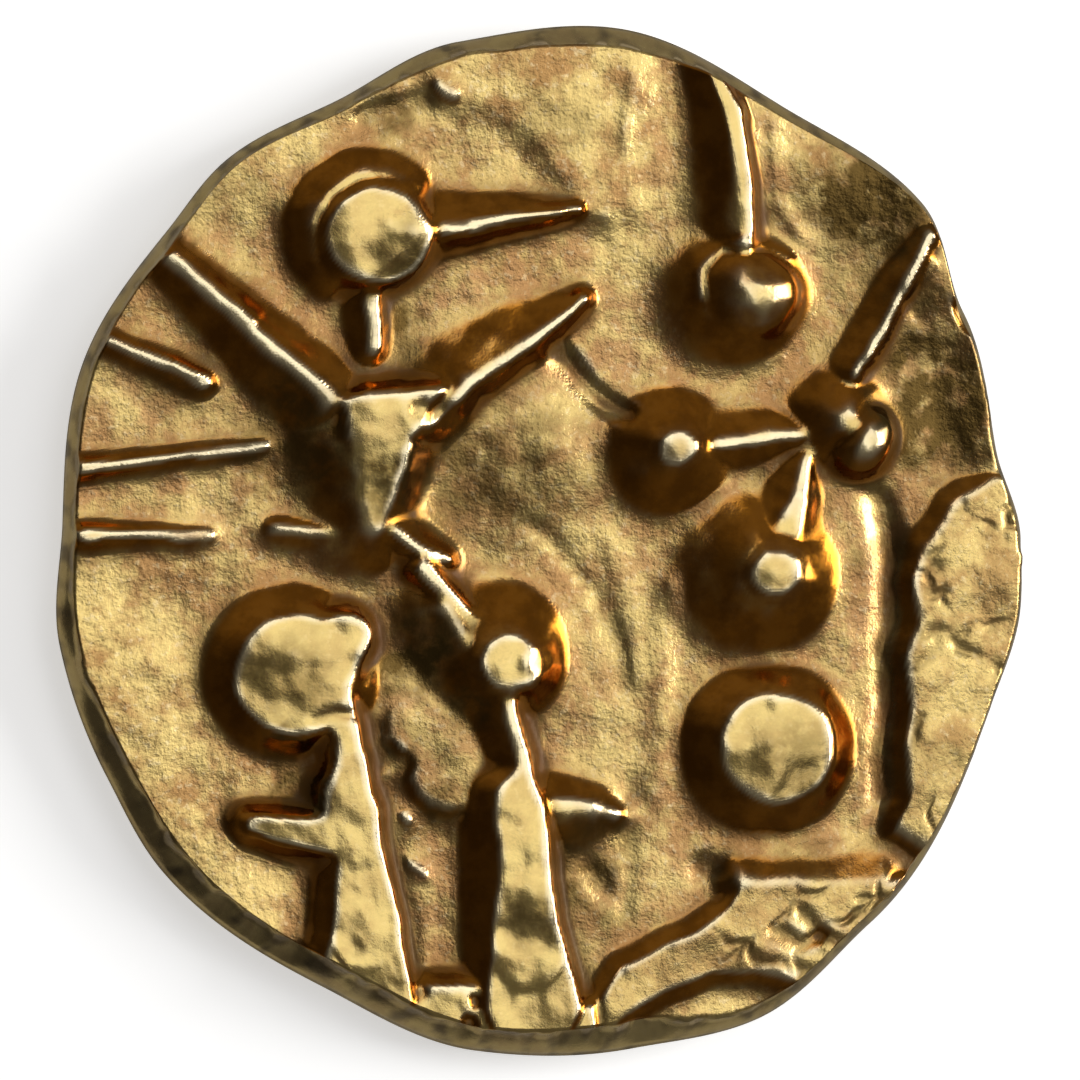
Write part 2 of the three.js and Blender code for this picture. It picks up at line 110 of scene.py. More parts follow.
# Strokes, point by point: x, y, half width of the crest, widths of the flanks to its left and right, height
STROKES = {
    "beak": [(-1.51, 3.87, 0.06, 0.6, 0.38, 1.27), (0.34, 4.12, 0.04, 0.12, 0.11, 1.18)],
    "neck": [(-2.28, 3.11, 0.1, 0.12, 0.38, 1.2), (-2.25, 2.41, 0.09, 0.15, 0.4, 1.15)],
    "torso": [(-2.21, 1.16, 0.38, 0.5, 1.05, 1.3), (-2.27, 0.19, 0.09, 0.5, 1.05, 1.25)],
    "left_arm": [
        (-2.84, 1.76, 0.07, 0.8, 0.57, 1.29), (-3.87, 2.61, 0.07, 0.53, 0.38, 1.26),
        (-4.83, 3.48, 0.07, 0.33, 0.21, 1.21),
    ],
    "right_arm": [
        (-1.88, 1.26, 0.05, 0.62, 0.38, 1.27), (-1.38, 1.63, 0.05, 0.82, 0.35, 1.27),
        (-1.08, 1.96, 0.05, 0.82, 0.33, 1.26), (-0.27, 2.47, 0.05, 0.65, 0.28, 1.23),
        (0.42, 3.02, 0.05, 0.17, 0.12, 1.17),
    ],
    "hip_spur": [(-2.36, 0.04, 0.03, 0.57, 0.35, 1.15), (-3.5, 0.18, 0.03, 0.35, 0.17, 1.08)],
    "hip_ridge": [
        (-2.22, 0.23, 0.05, 0.47, 0.35, 1.22), (-1.67, -0.13, 0.05, 0.35, 0.28, 1.2),
        (-1.31, -0.26, 0.05, 0.17, 0.15, 1.15),
    ],
    "blade": [(-1.66, -0.37, 0.12, 0.2, 0.17, 1.23), (-1.0, -1.02, 0.07, 0.15, 0.12, 1.18)],
    "left_leg": [
        (-2.66, -1.24, 0.35, 0.11, 0.23, 1.3), (-2.8, -1.87, 0.23, 0.1, 0.23, 1.3),
        (-2.61, -2.47, 0.19, 0.1, 0.23, 1.3), (-2.56, -2.79, 0.25, 0.1, 0.2, 1.3),
        (-2.61, -3.17, 0.34, 0.1, 0.2, 1.3), (-2.59, -3.44, 0.39, 0.1, 0.2, 1.3),
        (-2.47, -3.79, 0.31, 0.09, 0.29, 1.3), (-2.37, -4.87, 0.47, 0.09, 0.31, 1.29),
        (-2.41, -5.62, 0.64, 0.1, 0.29, 1.26),
    ],
    "tail_prong": [(-3.83, -3.53, 0.1, 0.23, 0.23, 1.27), (-2.82, -3.67, 0.25, 0.23, 0.2, 1.3)],
    "right_leg": [
        (-0.55, -1.99, 0.09, 0.12, 0.8, 1.3), (-0.36, -2.84, 0.1, 0.1, 0.62, 1.3),
        (-0.45, -3.24, 0.31, 0.1, 0.53, 1.3), (-0.37, -3.74, 0.33, 0.09, 0.51, 1.3),
        (-0.35, -4.49, 0.4, 0.09, 0.49, 1.3), (-0.32, -5.06, 0.49, 0.09, 0.42, 1.29),
        (-0.25, -5.74, 0.61, 0.1, 0.38, 1.26),
    ],
    "foot_spur": [
        (-0.18, -3.27, 0.07, 0.4, 0.78, 1.22), (0.48, -3.32, 0.05, 0.31, 0.6, 1.15),
        (1.04, -3.47, 0.01, 0.15, 0.17, 1.04),
    ],
    "link": [(1.84, 1.18, 0.05, 0.57, 0.44, 1.2), (3.19, 1.31, 0.04, 0.4, 0.29, 1.13)],
    "drop_point": [
        (2.88, -0.24, 0.2, 0.66, 0.57, 1.26), (3.15, 0.51, 0.09, 0.49, 0.33, 1.2),
        (3.32, 1.13, 0.04, 0.29, 0.17, 1.1),
    ],
    "club": [
        (1.91, 6.06, 0.04, 0.12, 0.3, 1.2), (2.32, 5.36, 0.11, 0.11, 0.57, 1.24),
        (2.46, 4.44, 0.09, 0.11, 0.75, 1.25), (2.5, 3.63, 0.06, 0.11, 0.72, 1.25),
    ],
    "slant_bar": [
        (4.84, 3.81, 0.05, 0.12, 0.38, 1.23), (4.41, 2.91, 0.05, 0.12, 0.42, 1.23),
        (3.89, 2.06, 0.05, 0.12, 0.42, 1.21),
    ],
    "upper_ray": [(-5.63, 2.48, 0.06, 0.12, 0.16, 1.15), (-4.43, 1.98, 0.1, 0.12, 0.2, 1.13)],
    "middle_ray": [(-5.94, 0.89, 0.09, 0.12, 0.15, 1.17), (-3.62, 1.18, 0.05, 0.11, 0.12, 1.05)],
    "lower_ray": [(-5.92, 0.06, 0.1, 0.12, 0.15, 1.17), (-4.33, 0.03, 0.06, 0.11, 0.12, 1.04)],
    "channel_bank": [(2.43, -4.34, 0.04, 0.55, 0.25, 1.19), (4.23, -4.32, 0.04, 0.55, 0.25, 1.18)],
    "thigh": [(-1.35, -0.82, 0.05, 0.38, 0.93, 1.22), (-0.7, -1.87, 0.05, 0.38, 0.88, 1.26)],
    "leg_pocket": [
        (-2.1, -1.59, 0.05, 0.23, 0.23, 1.0), (-1.73, -2.27, 0.33, 0.25, 0.2, 1.04),
        (-1.27, -2.77, 0.55, 0.25, 0.28, 1.08),
    ],
}

# Flat areas, corner by corner, with the width of the flank and the height
PLATES = {
    "chest": ([
        (-2.72, 1.76), (-2.34, 1.88), (-1.41, 1.91), (-1.6, 1.61), (-1.73, 1.31), (-2.47, 1.13),
        (-2.66, 1.26),
    ], 0.23, 1.31),
    "ground_line": ([
        (-2.99, -5.12), (-2.67, -5.43), (-1.78, -5.53), (-1.05, -5.56), (0.49, -5.78), (0.59, -6.74),
        (-3.25, -6.74),
    ], 0.23, 1.22),
    "right_border": ([
        (5.71, 0.76), (5.14, 0.43), (4.82, -0.09), (4.64, -0.57), (4.72, -1.02), (4.54, -1.49),
        (4.64, -2.07), (4.5, -2.64), (4.59, -3.24), (4.43, -3.62), (4.82, -3.87), (6.48, -3.87),
        (6.48, 0.76),
    ], 0.35, 1.16),
    "bottom_border": ([
        (4.49, -4.29), (2.44, -4.29), (2.23, -4.64), (1.77, -4.93), (1.3, -5.14), (0.88, -5.33),
        (0.62, -5.72), (0.67, -6.12), (1.06, -5.87), (1.41, -5.64), (2.08, -5.42), (2.59, -5.42),
        (3.15, -5.52), (3.79, -5.37), (4.49, -4.99),
    ], 0.25, 1.18),
    "top_border": ([
        (-1.45, 5.61), (-0.65, 5.38), (-0.24, 5.06), (0.14, 4.61), (0.47, 4.11), (0.7, 4.06),
        (0.91, 4.88), (1.06, 5.63), (1.26, 6.76), (-1.47, 6.76),
    ], 0.28, 1.045),
    "upper_right_border": ([
        (4.54, 4.57), (4.82, 3.94), (5.14, 3.19), (6.36, 3.19), (5.72, 5.01),
    ], 1.0, 1.14),
    "right_lip": ([
        (5.44, 2.69), (5.62, 1.76), (5.75, 0.88), (6.62, 0.88), (6.62, 2.69),
    ], 0.62, 1.12),
}

# Small ridges and cuts: the points of each, half width, width of its slopes, height over what it lies on
FINE = {
    "middle_crack": ([
        (-0.26, 0.26), (0.12, -0.14), (0.63, -0.74), (0.92, -1.37), (0.92, -1.87),
    ], 0.022, 0.05, -0.05),
    "lower_crack": ([(1.04, -2.99), (0.99, -3.62), (0.98, -4.24), (0.92, -4.81)], 0.022, 0.05, -0.05),
    "middle_streak": ([(0.79, -0.09), (0.99, -0.74), (1.15, -1.74)], 0.05, 0.175, 0.025),
    "low_streak": ([(1.5, -0.62), (1.43, -1.74), (1.35, -3.12)], 0.05, 0.175, 0.02),
    "channel_lip": ([(1.96, -3.79), (2.93, -3.84), (3.83, -3.77)], 0.025, 0.1, 0.03),
    "chest_notch": ([(-1.32, 1.58), (-1.72, 1.63)], 0.037, 0.15, -0.045),
    "beak_cut": ([(-1.08, 3.89), (0.3, 4.07)], 0.015, 0.037, -0.045),
    "lower_ray_cut": ([(-5.7, -0.06), (-4.86, -0.07)], 0.019, 0.037, -0.05),
    "middle_ray_cut": ([(-5.75, 0.76), (-4.53, 0.97)], 0.019, 0.037, -0.04),
    "disc_cut": ([(-3.05, -2.22), (-2.82, -2.14), (-2.53, -2.19)], 0.025, 0.062, -0.03),
    "shin_pit": ([(-1.79, -4.02), (-1.61, -4.14)], 0.037, 0.075, 0.05),
    "knee_notch": ([(-2.07, -2.59), (-1.9, -2.82)], 0.062, 0.1, -0.06),
    "brown_dent": ([(-2.36, 5.26), (-1.92, 5.36), (-1.61, 5.46)], 0.037, 0.2, -0.06),
    "ray_glint": ([(-4.78, 2.18), (-4.55, 2.08)], 0.037, 0.075, 0.03),
    "club_line": ([(2.64, 5.11), (2.64, 4.38), (2.63, 3.72)], 0.037, 0.062, 0.03),
    "club_line_b": ([(2.86, 5.26), (2.9, 4.26), (3.19, 3.81)], 0.037, 0.1, 0.03),
    "pit_a": ([(-1.01, -5.74), (-1.01, -5.78)], 0.025, 0.05, -0.06),
    "pit_b": ([(-1.09, -6.01), (-1.05, -6.03)], 0.037, 0.062, -0.06),
    "spur_dent": ([(0.44, -3.97), (0.71, -4.43)], 0.062, 0.087, -0.05),
    "spur_glint": ([(0.48, -3.93), (0.56, -4.02)], 0.025, 0.05, 0.05),
    "edge_slot": ([(5.24, 2.91), (5.34, 2.68)], 0.037, 0.062, -0.08),
    "right_gutter": ([
        (4.26, 0.51), (4.34, -0.24), (4.38, -1.24), (4.26, -2.74), (4.21, -3.62),
    ], 0.05, 0.125, -0.03),
    "white_knob": ([(-1.44, 5.63), (-1.26, 5.53)], 0.037, 0.15, 0.04),
    "top_streak": ([(1.07, 5.76), (1.02, 4.88), (1.07, 4.11)], 0.037, 0.175, 0.022),
    "top_streak_b": ([(1.25, 5.61), (1.3, 4.88)], 0.025, 0.125, 0.018),
    "bar_crumb_a": ([(4.85, 3.48), (4.62, 3.11)], 0.037, 0.1, 0.04),
    "bar_crumb_b": ([(4.57, 2.78), (4.34, 2.51), (4.14, 2.26)], 0.037, 0.1, 0.04),
    "bar_crumb_c": ([(4.7, 2.63), (4.49, 2.36)], 0.025, 0.087, 0.03),
    "plateau_fold_a": ([(2.81, -4.89), (3.13, -5.07), (3.45, -4.97), (3.73, -5.09)], 0.025, 0.1, -0.045),
    "plateau_fold_b": ([(3.19, -4.67), (3.34, -4.84), (3.45, -4.97)], 0.025, 0.087, -0.04),
    "disc_edge": ([
        (-2.23, -1.24), (-2.5, -1.87), (-2.34, -2.47), (-2.23, -2.79), (-2.19, -3.17),
    ], 0.025, 0.113, -0.05),
    "leg_edge": ([(-2.07, -3.79), (-1.82, -4.87), (-1.7, -5.62)], 0.025, 0.125, -0.05),
    "shin_edge": ([(0.02, -3.74), (0.12, -4.49), (0.24, -5.06), (0.43, -5.74)], 0.025, 0.125, -0.05),
    "arm_line": ([(-4.5, 3.61), (-3.2, 2.58)], 0.025, 0.087, 0.02),
    "club_ring": ([
        (1.86, 3.01), (1.89, 3.41), (2.12, 3.66), (2.47, 3.76), (2.86, 3.71), (3.11, 3.53),
    ], 0.019, 0.062, 0.03),
    "head_ring": ([
        (-2.92, 3.13), (-3.15, 3.48), (-3.17, 3.98), (-2.97, 4.41), (-2.56, 4.66), (-2.07, 4.68),
        (-1.67, 4.48),
    ], 0.062, 0.15, 0.045),
    "staff_cut": ([(0.1, 2.36), (0.51, 1.91), (0.79, 1.66), (0.97, 1.58)], 0.056, 0.087, -0.09),
    "staff_line": ([(0.25, 2.41), (0.43, 2.18), (0.58, 1.91)], 0.05, 0.125, 0.03),
    "shin_top": ([(-0.39, -1.99), (-0.18, -2.84)], 0.025, 0.125, -0.05),
    "channel_pit": ([(1.91, -4.09), (2.12, -4.14)], 0.075, 0.1, -0.05),
    "knee_curl": ([(-2.13, -2.52), (-1.97, -2.59), (-2.0, -2.84), (-2.13, -2.94)], 0.037, 0.087, 0.05),
    "white_spot": ([(-1.88, -3.42), (-1.82, -3.49)], 0.05, 0.087, 0.06),
    "left_arm_band": ([(-4.73, 3.63), (-4.29, 3.23), (-3.81, 2.81)], 0.075, 0.1, 0.035),
    "beak_band": ([(-1.32, 3.81), (-0.64, 3.93), (0.07, 4.08)], 0.037, 0.075, 0.025),
    "gutter_cut": ([
        (4.21, 0.51), (4.42, -0.24), (4.26, -1.24), (4.38, -2.12), (4.29, -3.12),
    ], 0.05, 0.2, -0.05),
    "pale_streak": ([(1.5, -0.47), (1.41, -1.37), (1.54, -2.43), (1.45, -3.31)], 0.062, 0.175, 0.014),
}

# Gentle leans of the ground and of worn tops: centre, radius, rise per millimetre to the right and upwards
TILTS = {
    "head": ((-2.02, 3.56), 0.6, 0.02, 0.1),
    "tail_disc": ((-3.25, -1.77), 0.8, 0.0, 0.05),
    "flat_pellet": ((3.01, -2.79), 0.7, 0.0, 0.06),
    "right_shin": ((-0.29, -4.69), 0.65, 0.01, 0.065),
    "middle_field": ((-0.54, 0.68), 1.5, 0.06, 0.06),
    "left_field": ((-5.24, -1.49), 1.62, -0.02, -0.04),
    "upper_left_field": ((-3.9, 4.07), 1.0, 0.02, 0.03),
    "upper_right_field": ((3.19, 4.07), 1.12, 0.06, 0.03),
    "between_legs": ((-1.31, -4.74), 0.75, 0.02, 0.03),
    "ledge": ((2.17, -5.79), 0.88, -0.04, -0.09),
    "knee_pellet": ((-0.26, -1.53), 0.23, -0.3, 0.0),
}


def flank_height(ground, top, flank, distance):
    """Level inside a form's top edge, then a slope that runs out gently on the ground."""
    share = np.clip(1.0 - distance / flank, 0.0, 1.0)
    return ground + (top - ground) * share * (FOOT_SLOPE + (1.0 - FOOT_SLOPE) * share * (2.0 - share))


def boss_height(x, y, ground, centre, half, turn, flank, top, crown, lean):
    """A round form: its rim is the top's edge, and its flank is wider on the side that it leans to."""
    cosine, sine = math.cos(math.radians(turn)), math.sin(math.radians(turn))
    across, up = x - centre[0], y - centre[1]
    rim = np.hypot((across * cosine + up * sine) / half[0], (up * cosine - across * sine) / half[1])
    away = np.maximum(np.hypot(across, up), NEAR_ZERO)
    flank = flank + (lean[0] * across + lean[1] * up) / away
    distance = (rim - 1.0) / np.maximum(rim, NEAR_ZERO) * away
    return flank_height(ground, top + crown * np.clip(1 - rim * rim, 0, 1), flank, distance)


def share_along(x, y, start, end):
    """How far along a straight piece the nearest point lies, from 0 at its start to 1 at its end."""
    along = np.subtract(end, start)
    return np.clip(((x - start[0]) * along[0] + (y - start[1]) * along[1]) / (along @ along), 0.0, 1.0)


def piece_distance(x, y, start, end):
    share = share_along(x, y, start, end)
    return np.hypot(x - start[0] - (end[0] - start[0]) * share, y - start[1] - (end[1] - start[1]) * share)


def stroke_height(x, y, ground, points):
    """The highest flank over a stroke's straight pieces, with its own width on each side of the crest."""
    height = ground
    for start, end in zip(points, points[1:]):
        share = share_along(x, y, start[:2], end[:2])
        centre_x, centre_y, half, left, right, top = (a + (b - a) * share for a, b in zip(start, end))
        along = np.subtract(end[:2], start[:2]) / math.dist(start[:2], end[:2])
        away = np.hypot(x - centre_x, y - centre_y)
        aside = along[0] * (y - centre_y) - along[1] * (x - centre_x)
        flank = right + (left - right) * (0.5 + 0.5 * aside / np.maximum(away, NEAR_ZERO))
        height = np.maximum(height, flank_height(ground, top, flank, away - half))
    return height


def plate_distance(x, y, outline):
    """Distance to an outline, negative inside it."""
    nearest = np.full(x.shape, np.inf)
    inside = np.zeros(x.shape, bool)
    for start, end in zip(outline, outline[1:] + outline[:1]):
        nearest = np.minimum(nearest, piece_distance(x, y, start, end))
        if start[1] != end[1]:
            crossing = start[0] + (y - start[1]) * (end[0] - start[0]) / (end[1] - start[1])
            inside ^= ((start[1] > y) != (end[1] > y)) & (x < crossing)
    return np.where(inside, -nearest, nearest)


def fine_height(x, y):
    """Small ridges, cuts and leans over the main forms."""
    height = np.zeros(x.shape)
    for points, half, flank, rise in FINE.values():
        nearest = np.full(x.shape, np.inf)
        for start, end in zip(points, points[1:]):
            nearest = np.minimum(nearest, piece_distance(x, y, start, end))
        height += rise * smooth(1.0 - (nearest - half) / flank)
    for centre, radius, right, up in TILTS.values():
        across, along = x - centre[0], y - centre[1]
        height += (right * across + up * along) * smooth(1.5 - 1.5 * np.hypot(across, along) / radius)
    return height


def relief_height(x, y):
    """The highest of the sunk ground and every form on it, and the ground alone."""
    ground = FIELD + FIELD_RISE * (x * x + y * y) / FIELD_RADIUS ** 2
    height = ground
    for boss in BOSSES.values():
        height = np.maximum(height, boss_height(x, y, ground, *boss))
    for points in STROKES.values():
        height = np.maximum(height, stroke_height(x, y, ground, points))
    for outline, flank, top in PLATES.values():
        height = np.maximum(height, flank_height(ground, top, flank, plate_distance(x, y, outline)))
    return height, ground


# Striking the blank
# The face is a fine grid wrapped to the blank's outline and raised to the relief. The edge and the domed
# underside are drawn down from its border, to a small flat that the coin rests on. Each corner also keeps
# how far it is flank, worn top, dirt and painted shade in hollows, painted crest highlight and so on, for
# the colour of the gold.
FACE_CELLS = 288
FACE_SIDE = FACE_CELLS + 1
SMALLEST_AREA = 1e-9
MASKS = ("flank", "top", "hollow", "flank_tone_and_shade", "shade", "patina_and_shade", "crest_highlight", "copper")

# Brown and olive toning of the ground and of worn tops, with painted shade where the patches darken the lower
# right of the head, tail disc and flat pellet and the flanks of the torso, thigh and point: centre, radius
# and strength
TONING_AND_SHADE_PATCHES = {
    "middle": ((-0.71, 0.88), 1.25, 0.85),
    "middle_right": ((0.25, 0.88), 0.75, 0.4),
    "flank_of_torso": ((-1.95, 0.73), 0.7, 1.0),
    "head": ((-1.92, 3.48), 0.53, 0.85),
    "tail_disc": ((-3.35, -1.74), 0.75, 0.6),
    "flat_pellet": ((3.01, -2.77), 0.75, 0.6),
    "shin": ((-0.26, -4.72), 0.5, 0.7),
    "upper_right": ((4.11, 4.26), 1.0, 1.5),
    "bar_side": ((4.79, 3.01), 0.57, 0.9),
    "right_ground": ((4.95, 1.69), 1.05, 1.6),
    "ray_root": ((-4.73, 1.86), 0.57, 0.6),
    "arm_foot": ((-3.74, 1.13), 0.55, 0.5),
    "spur_foot": ((0.53, -4.29), 0.65, 1.0),
    "gutter_high": ((4.28, -0.24), 0.42, 0.6),
    "gutter_middle": ((4.26, -1.43), 0.45, 0.6),
    "gutter_low": ((4.19, -2.74), 0.45, 0.6),
    "knee_pocket": ((-2.02, -2.77), 0.42, 0.6),
    "top": ((0.07, 5.23), 0.57, 0.45),
    "dent": ((-2.02, 5.36), 0.33, 0.9),
    "border_low": ((5.11, -2.87), 0.5, 0.35),
    "club_side": ((3.19, 4.38), 0.62, 0.45),
    "leg_pocket": ((-1.6, -2.52), 0.55, 0.5),
    "shin_pocket": ((0.63, -3.74), 0.5, 0.7),
    "channel_a": ((2.27, -4.02), 0.5, 0.7),
    "channel_b": ((3.27, -4.02), 0.5, 0.5),
    "neck_side": ((-1.92, 2.73), 0.35, 1.2),
    "upper_left": ((-4.02, 4.26), 0.75, 0.35),
    "disc_side": ((-2.07, -1.59), 0.4, 1.2),
    "disc_under": ((-3.39, -2.57), 0.33, 1.0),
    "bay": ((-3.12, -3.12), 0.45, 1.2),
    "bulb_side": ((4.21, 1.81), 0.33, 0.8),
    "thigh": ((-1.56, -1.39), 0.62, 1.3),
    "thigh_low": ((-1.03, -2.06), 0.45, 1.0),
    "shelf": ((-1.35, -3.32), 0.38, 0.9),
    "point_side": ((3.52, 0.41), 0.3, 0.8),
    "throat": ((-1.79, 2.28), 0.42, 0.8),
    "low_middle": ((1.15, -1.31), 0.7, 0.3),
    "arm_pit": ((-3.35, 1.26), 1.06, 0.9),
}

struck = bmesh.new()
mask_layers = {name: struck.verts.layers.float.new(name) for name in MASKS}
bmesh.ops.create_grid(struck, x_segments=FACE_CELLS, y_segments=FACE_CELLS, size=1.0)
face_verts = sorted(struck.verts, key=lambda vert: (round(vert.co.y, 5), round(vert.co.x, 5)))
flat = np.array([vert.co for vert in face_verts])
face_x, face_y = wrap_to_blank(flat[:, 0], flat[:, 1])


def ramp(value, low, high):
    """0 up to low and 1 from high on, eased between them; low may be the larger."""
    return smooth((value - low) / (high - low))


def grain(x, y, across, along, turn=0.0, detail=3, start=0.0):
    """Fractal unevenness between -1 and 1; lumps are across by along millimetres, turned by degrees."""
    cosine, sine = math.cos(math.radians(turn)), math.sin(math.radians(turn))
    u, v = (x * cosine + y * sine) / across, (y * cosine - x * sine) / along
    return np.array([noise.fractal((a, b, start), 1.0, 2.0, detail) for a, b in zip(u, v)])


def cracks(x, y, size):
    """1 along the thin lines between irregular plates of about this size, 0 inside them."""
    gaps = []
    for a, b in zip(x / size, y / size):
        bent_a = a + 0.3 * noise.noise((2 * a, 2 * b, 4))
        bent_b = b + 0.3 * noise.noise((2 * a, 2 * b, 8))
        distances, _ = noise.voronoi((bent_a, bent_b, 0))
        gaps.append(distances[1] - distances[0])
    return ramp(np.array(gaps), 0.14, 0.0)


def worn(height, passes):
    """Rounds a height over the grid, as handling rounds the metal."""
    field = np.pad(height.reshape(FACE_SIDE, FACE_SIDE), 1, mode="edge")
    for _ in range(passes):
        field[1:-1] = (field[:-2] + 2 * field[1:-1] + field[2:]) / 4
        field[:, 1:-1] = (field[:, :-2] + 2 * field[:, 1:-1] + field[:, 2:]) / 4
    return field[1:-1, 1:-1].ravel()


def slope_of(height):
    """Rise of a height over the wrapped grid, to the right and upwards."""
    z, x, y = (values.reshape(FACE_SIDE, FACE_SIDE) for values in (height, face_x, face_y))
    zu, xu, yu = (np.gradient(values, axis=1) for values in (z, x, y))
    zv, xv, yv = (np.gradient(values, axis=0) for values in (z, x, y))
    area = xu * yv - xv * yu
    area = np.where(np.abs(area) < SMALLEST_AREA, SMALLEST_AREA, area)
    return ((zu * yv - zv * yu) / area).ravel(), ((zv * xu - zu * xv) / area).ravel()


# Main forms, with a hand-cut sway in their lines and feet that run softly into the ground
swayed_x = face_x + 0.040 * grain(face_x, face_y, 0.8, 0.8, detail=5, start=3.0)
swayed_y = face_y + 0.040 * grain(face_x, face_y, 0.8, 0.8, detail=5, start=7.0)
face_z, face_ground = relief_height(swayed_x, swayed_y)
face_z = face_ground + (face_z - face_ground) * (1 + 0.06 * grain(face_x, face_y, 0.5, 0.5, start=19.0))
face_z = worn(face_z + fine_height(swayed_x, swayed_y), 2)
face_z = face_z + (worn(face_z, 6) - face_z) * ramp(face_z - face_ground, 0.08, 0.0)

# Where the surface is steep, high, hollow or close to a flank, which sets where dirt, toning, painted shade
# and painted highlights go
rise = face_z - face_ground
rise_right, rise_up = slope_of(face_z)
steep = np.hypot(rise_right, rise_up)
on_border = sum(ramp(plate_distance(swayed_x, swayed_y, PLATES[name][0]), 0.15, -0.15)
                for name in ("right_border", "bottom_border", "right_lip"))
some_cracks = cracks(face_x, face_y, 0.6) * smooth(0.2 + 1.5 * grain(face_x, face_y, 0.8, 0.8, start=25.0))
face_masks = {
    "flank": ramp(steep, 0.16, 0.40),
    "top": ramp(rise, 0.09, 0.19) * ramp(steep, 0.37, 0.12) * (1 - 0.6 * on_border),
    # Dark and dull: old dirt in the border cracks, partly dirt and partly painted shade in creases and at the
    # feet of the forms, and painted shade on steep right-facing flanks
    "hollow": np.maximum.reduce([
        ramp(worn(face_z, 8) - face_z, 0.003, 0.021),
        1.1 * ramp(-rise_right, 0.8, 1.4),
        0.8 * on_border * worn(some_cracks, 1),
    ]),
    # Painted shade with brown toning on the steep lower part of the flanks
    "flank_tone_and_shade": ramp(steep, 0.22, 0.42) * ramp(rise, 0.0, 0.06) * ramp(rise, 0.532, 0.252),
    # Painted highlight: convex ridges that are not steep are whitened where the lamps glint
    "crest_highlight": ramp(face_z - worn(face_z, 8), 0.003, 0.018) * ramp(steep, 0.55, 0.25),
}
face_masks["shade"] = smooth(1.8 * worn(face_masks["flank"], 110))
face_masks["copper"] = smooth(1.8 * worn(face_masks["flank"], 500)) * (1 - on_border)

patch_x = face_x + 0.30 * grain(face_x, face_y, 0.6, 0.6, detail=4, start=21.0)
patch_y = face_y + 0.30 * grain(face_x, face_y, 0.6, 0.6, detail=4, start=23.0)
face_masks["patina_and_shade"] = np.zeros(face_x.shape)
for centre, radius, strength in TONING_AND_SHADE_PATCHES.values():
    away = np.hypot(patch_x - centre[0], patch_y - centre[1])
    toned = strength * smooth(1.5 - 1.3 * away / radius)
    face_masks["patina_and_shade"] = np.maximum(face_masks["patina_and_shade"], toned)

# Waves and grain of the hammered ground, and the crumpled, cracked borders
waves = 0.026 * grain(face_x, face_y, 1.5, 1.7, detail=2, start=11.0)
lumps = 0.011 * grain(face_x, face_y, 0.45, 0.45, detail=3, start=1.0)
streaks = 0.002 * grain(face_x, face_y, 0.10, 0.35, turn=8, detail=3, start=5.0)
pebble = 0.0015 * grain(face_x, face_y, 0.15, 0.17, detail=3, start=9.0)
crumple = 0.013 * grain(face_x, face_y, 0.9, 0.7, turn=30, detail=4, start=15.0) - 0.04 * some_cracks
off_flanks = 1 - 0.85 * face_masks["flank"]
off_tops = 1 - 0.6 * face_masks["top"]
face_z = face_z + waves + off_flanks * (on_border * crumple + off_tops * (lumps + streaks + pebble))

for vert, corner in zip(face_verts, np.column_stack((face_x, face_y, face_z)) * MM):
    vert.co = corner
for name, layer in mask_layers.items():
    for vert, value in zip(face_verts, face_masks[name]):
        vert[layer] = value

# Edge wall, ring by ring: way out over the bulge, way down to the belly, and how much dirt it holds
EDGE_PROFILE = [
    (0.05, 0.14, 1.2), (0.10, 0.38, 1.5), (0.32, 0.48, 0.6),
    (0.55, 0.60, 0.1), (0.82, 0.80, 0.0), (1.00, 1.00, 0.1),
]
RAGGED = 0.32

# Underside, ring by ring: share of the reach, and height
UNDERSIDE = [(0.985, 0.46), (0.955, 0.34), (0.88, 0.20), (0.80, 0.10), (0.65, 0.035), (0.50, 0.0)]
UNDERSIDE_DIRT = 0.2

# The wall takes the worn-top colour and a quarter of the painted crest highlight
WALL_MASKS = {"top": 0.8, "crest_highlight": 0.25}
SPOTS_PER_MM = (5, 5, 3)

loop = [edge for edge in struck.edges if edge.is_boundary]
border = {vert for edge in loop for vert in edge.verts}
rim = np.array([(math.atan2(vert.co.y, vert.co.x), vert.co.z / MM) for vert in border])


def draw_down(loop, ring, dirt, spotting):
    """Extrudes the open border once and puts the new corners where the ring says, by their angle."""
    drawn = bmesh.ops.extrude_edge_only(struck, edges=loop)["geom"]
    corners = [item for item in drawn if isinstance(item, bmesh.types.BMVert)]
    angle = np.array([math.atan2(vert.co.y, vert.co.x) for vert in corners])
    radius, height = ring(angle)
    for vert, a, r, z in zip(corners, angle, radius, height):
        corner = Vector((r * math.cos(a), r * math.sin(a), z))
        vert.co = corner * MM
        spots = spotting * noise.noise(corner * Vector(SPOTS_PER_MM))
        for name, layer in mask_layers.items():
            vert[layer] = WALL_MASKS.get(name, 0.0)
        vert[mask_layers["hollow"]] = min(1.0, dirt * smooth(0.40 + 1.2 * spots))
        vert[mask_layers["patina_and_shade"]] = max(0.0, 2.5 * spots)
    return [item for item in drawn if isinstance(item, bmesh.types.BMEdge) and item.is_boundary]


def edge_ring(out, down):
    """A ring of the wall; it is ragged near the struck face and even at the belly."""
    def ring(angle):
        reach, bulge = edge_at(angle)
        top = np.interp(angle, rim[:, 0], rim[:, 1], period=2 * np.pi)
        unevenness = grain(np.cos(angle), np.sin(angle), 0.11, 0.11, detail=4, start=27.0)
        ragged = RAGGED * unevenness * (1.0 - out)
        return reach - bulge * (1.0 - out + ragged), top + (BELLY_HEIGHT - top) * (down + 0.5 * ragged)
    return ring


def underside_ring(share, height):
    return lambda angle: (edge_at(angle)[0] * share, np.full(angle.shape, height))


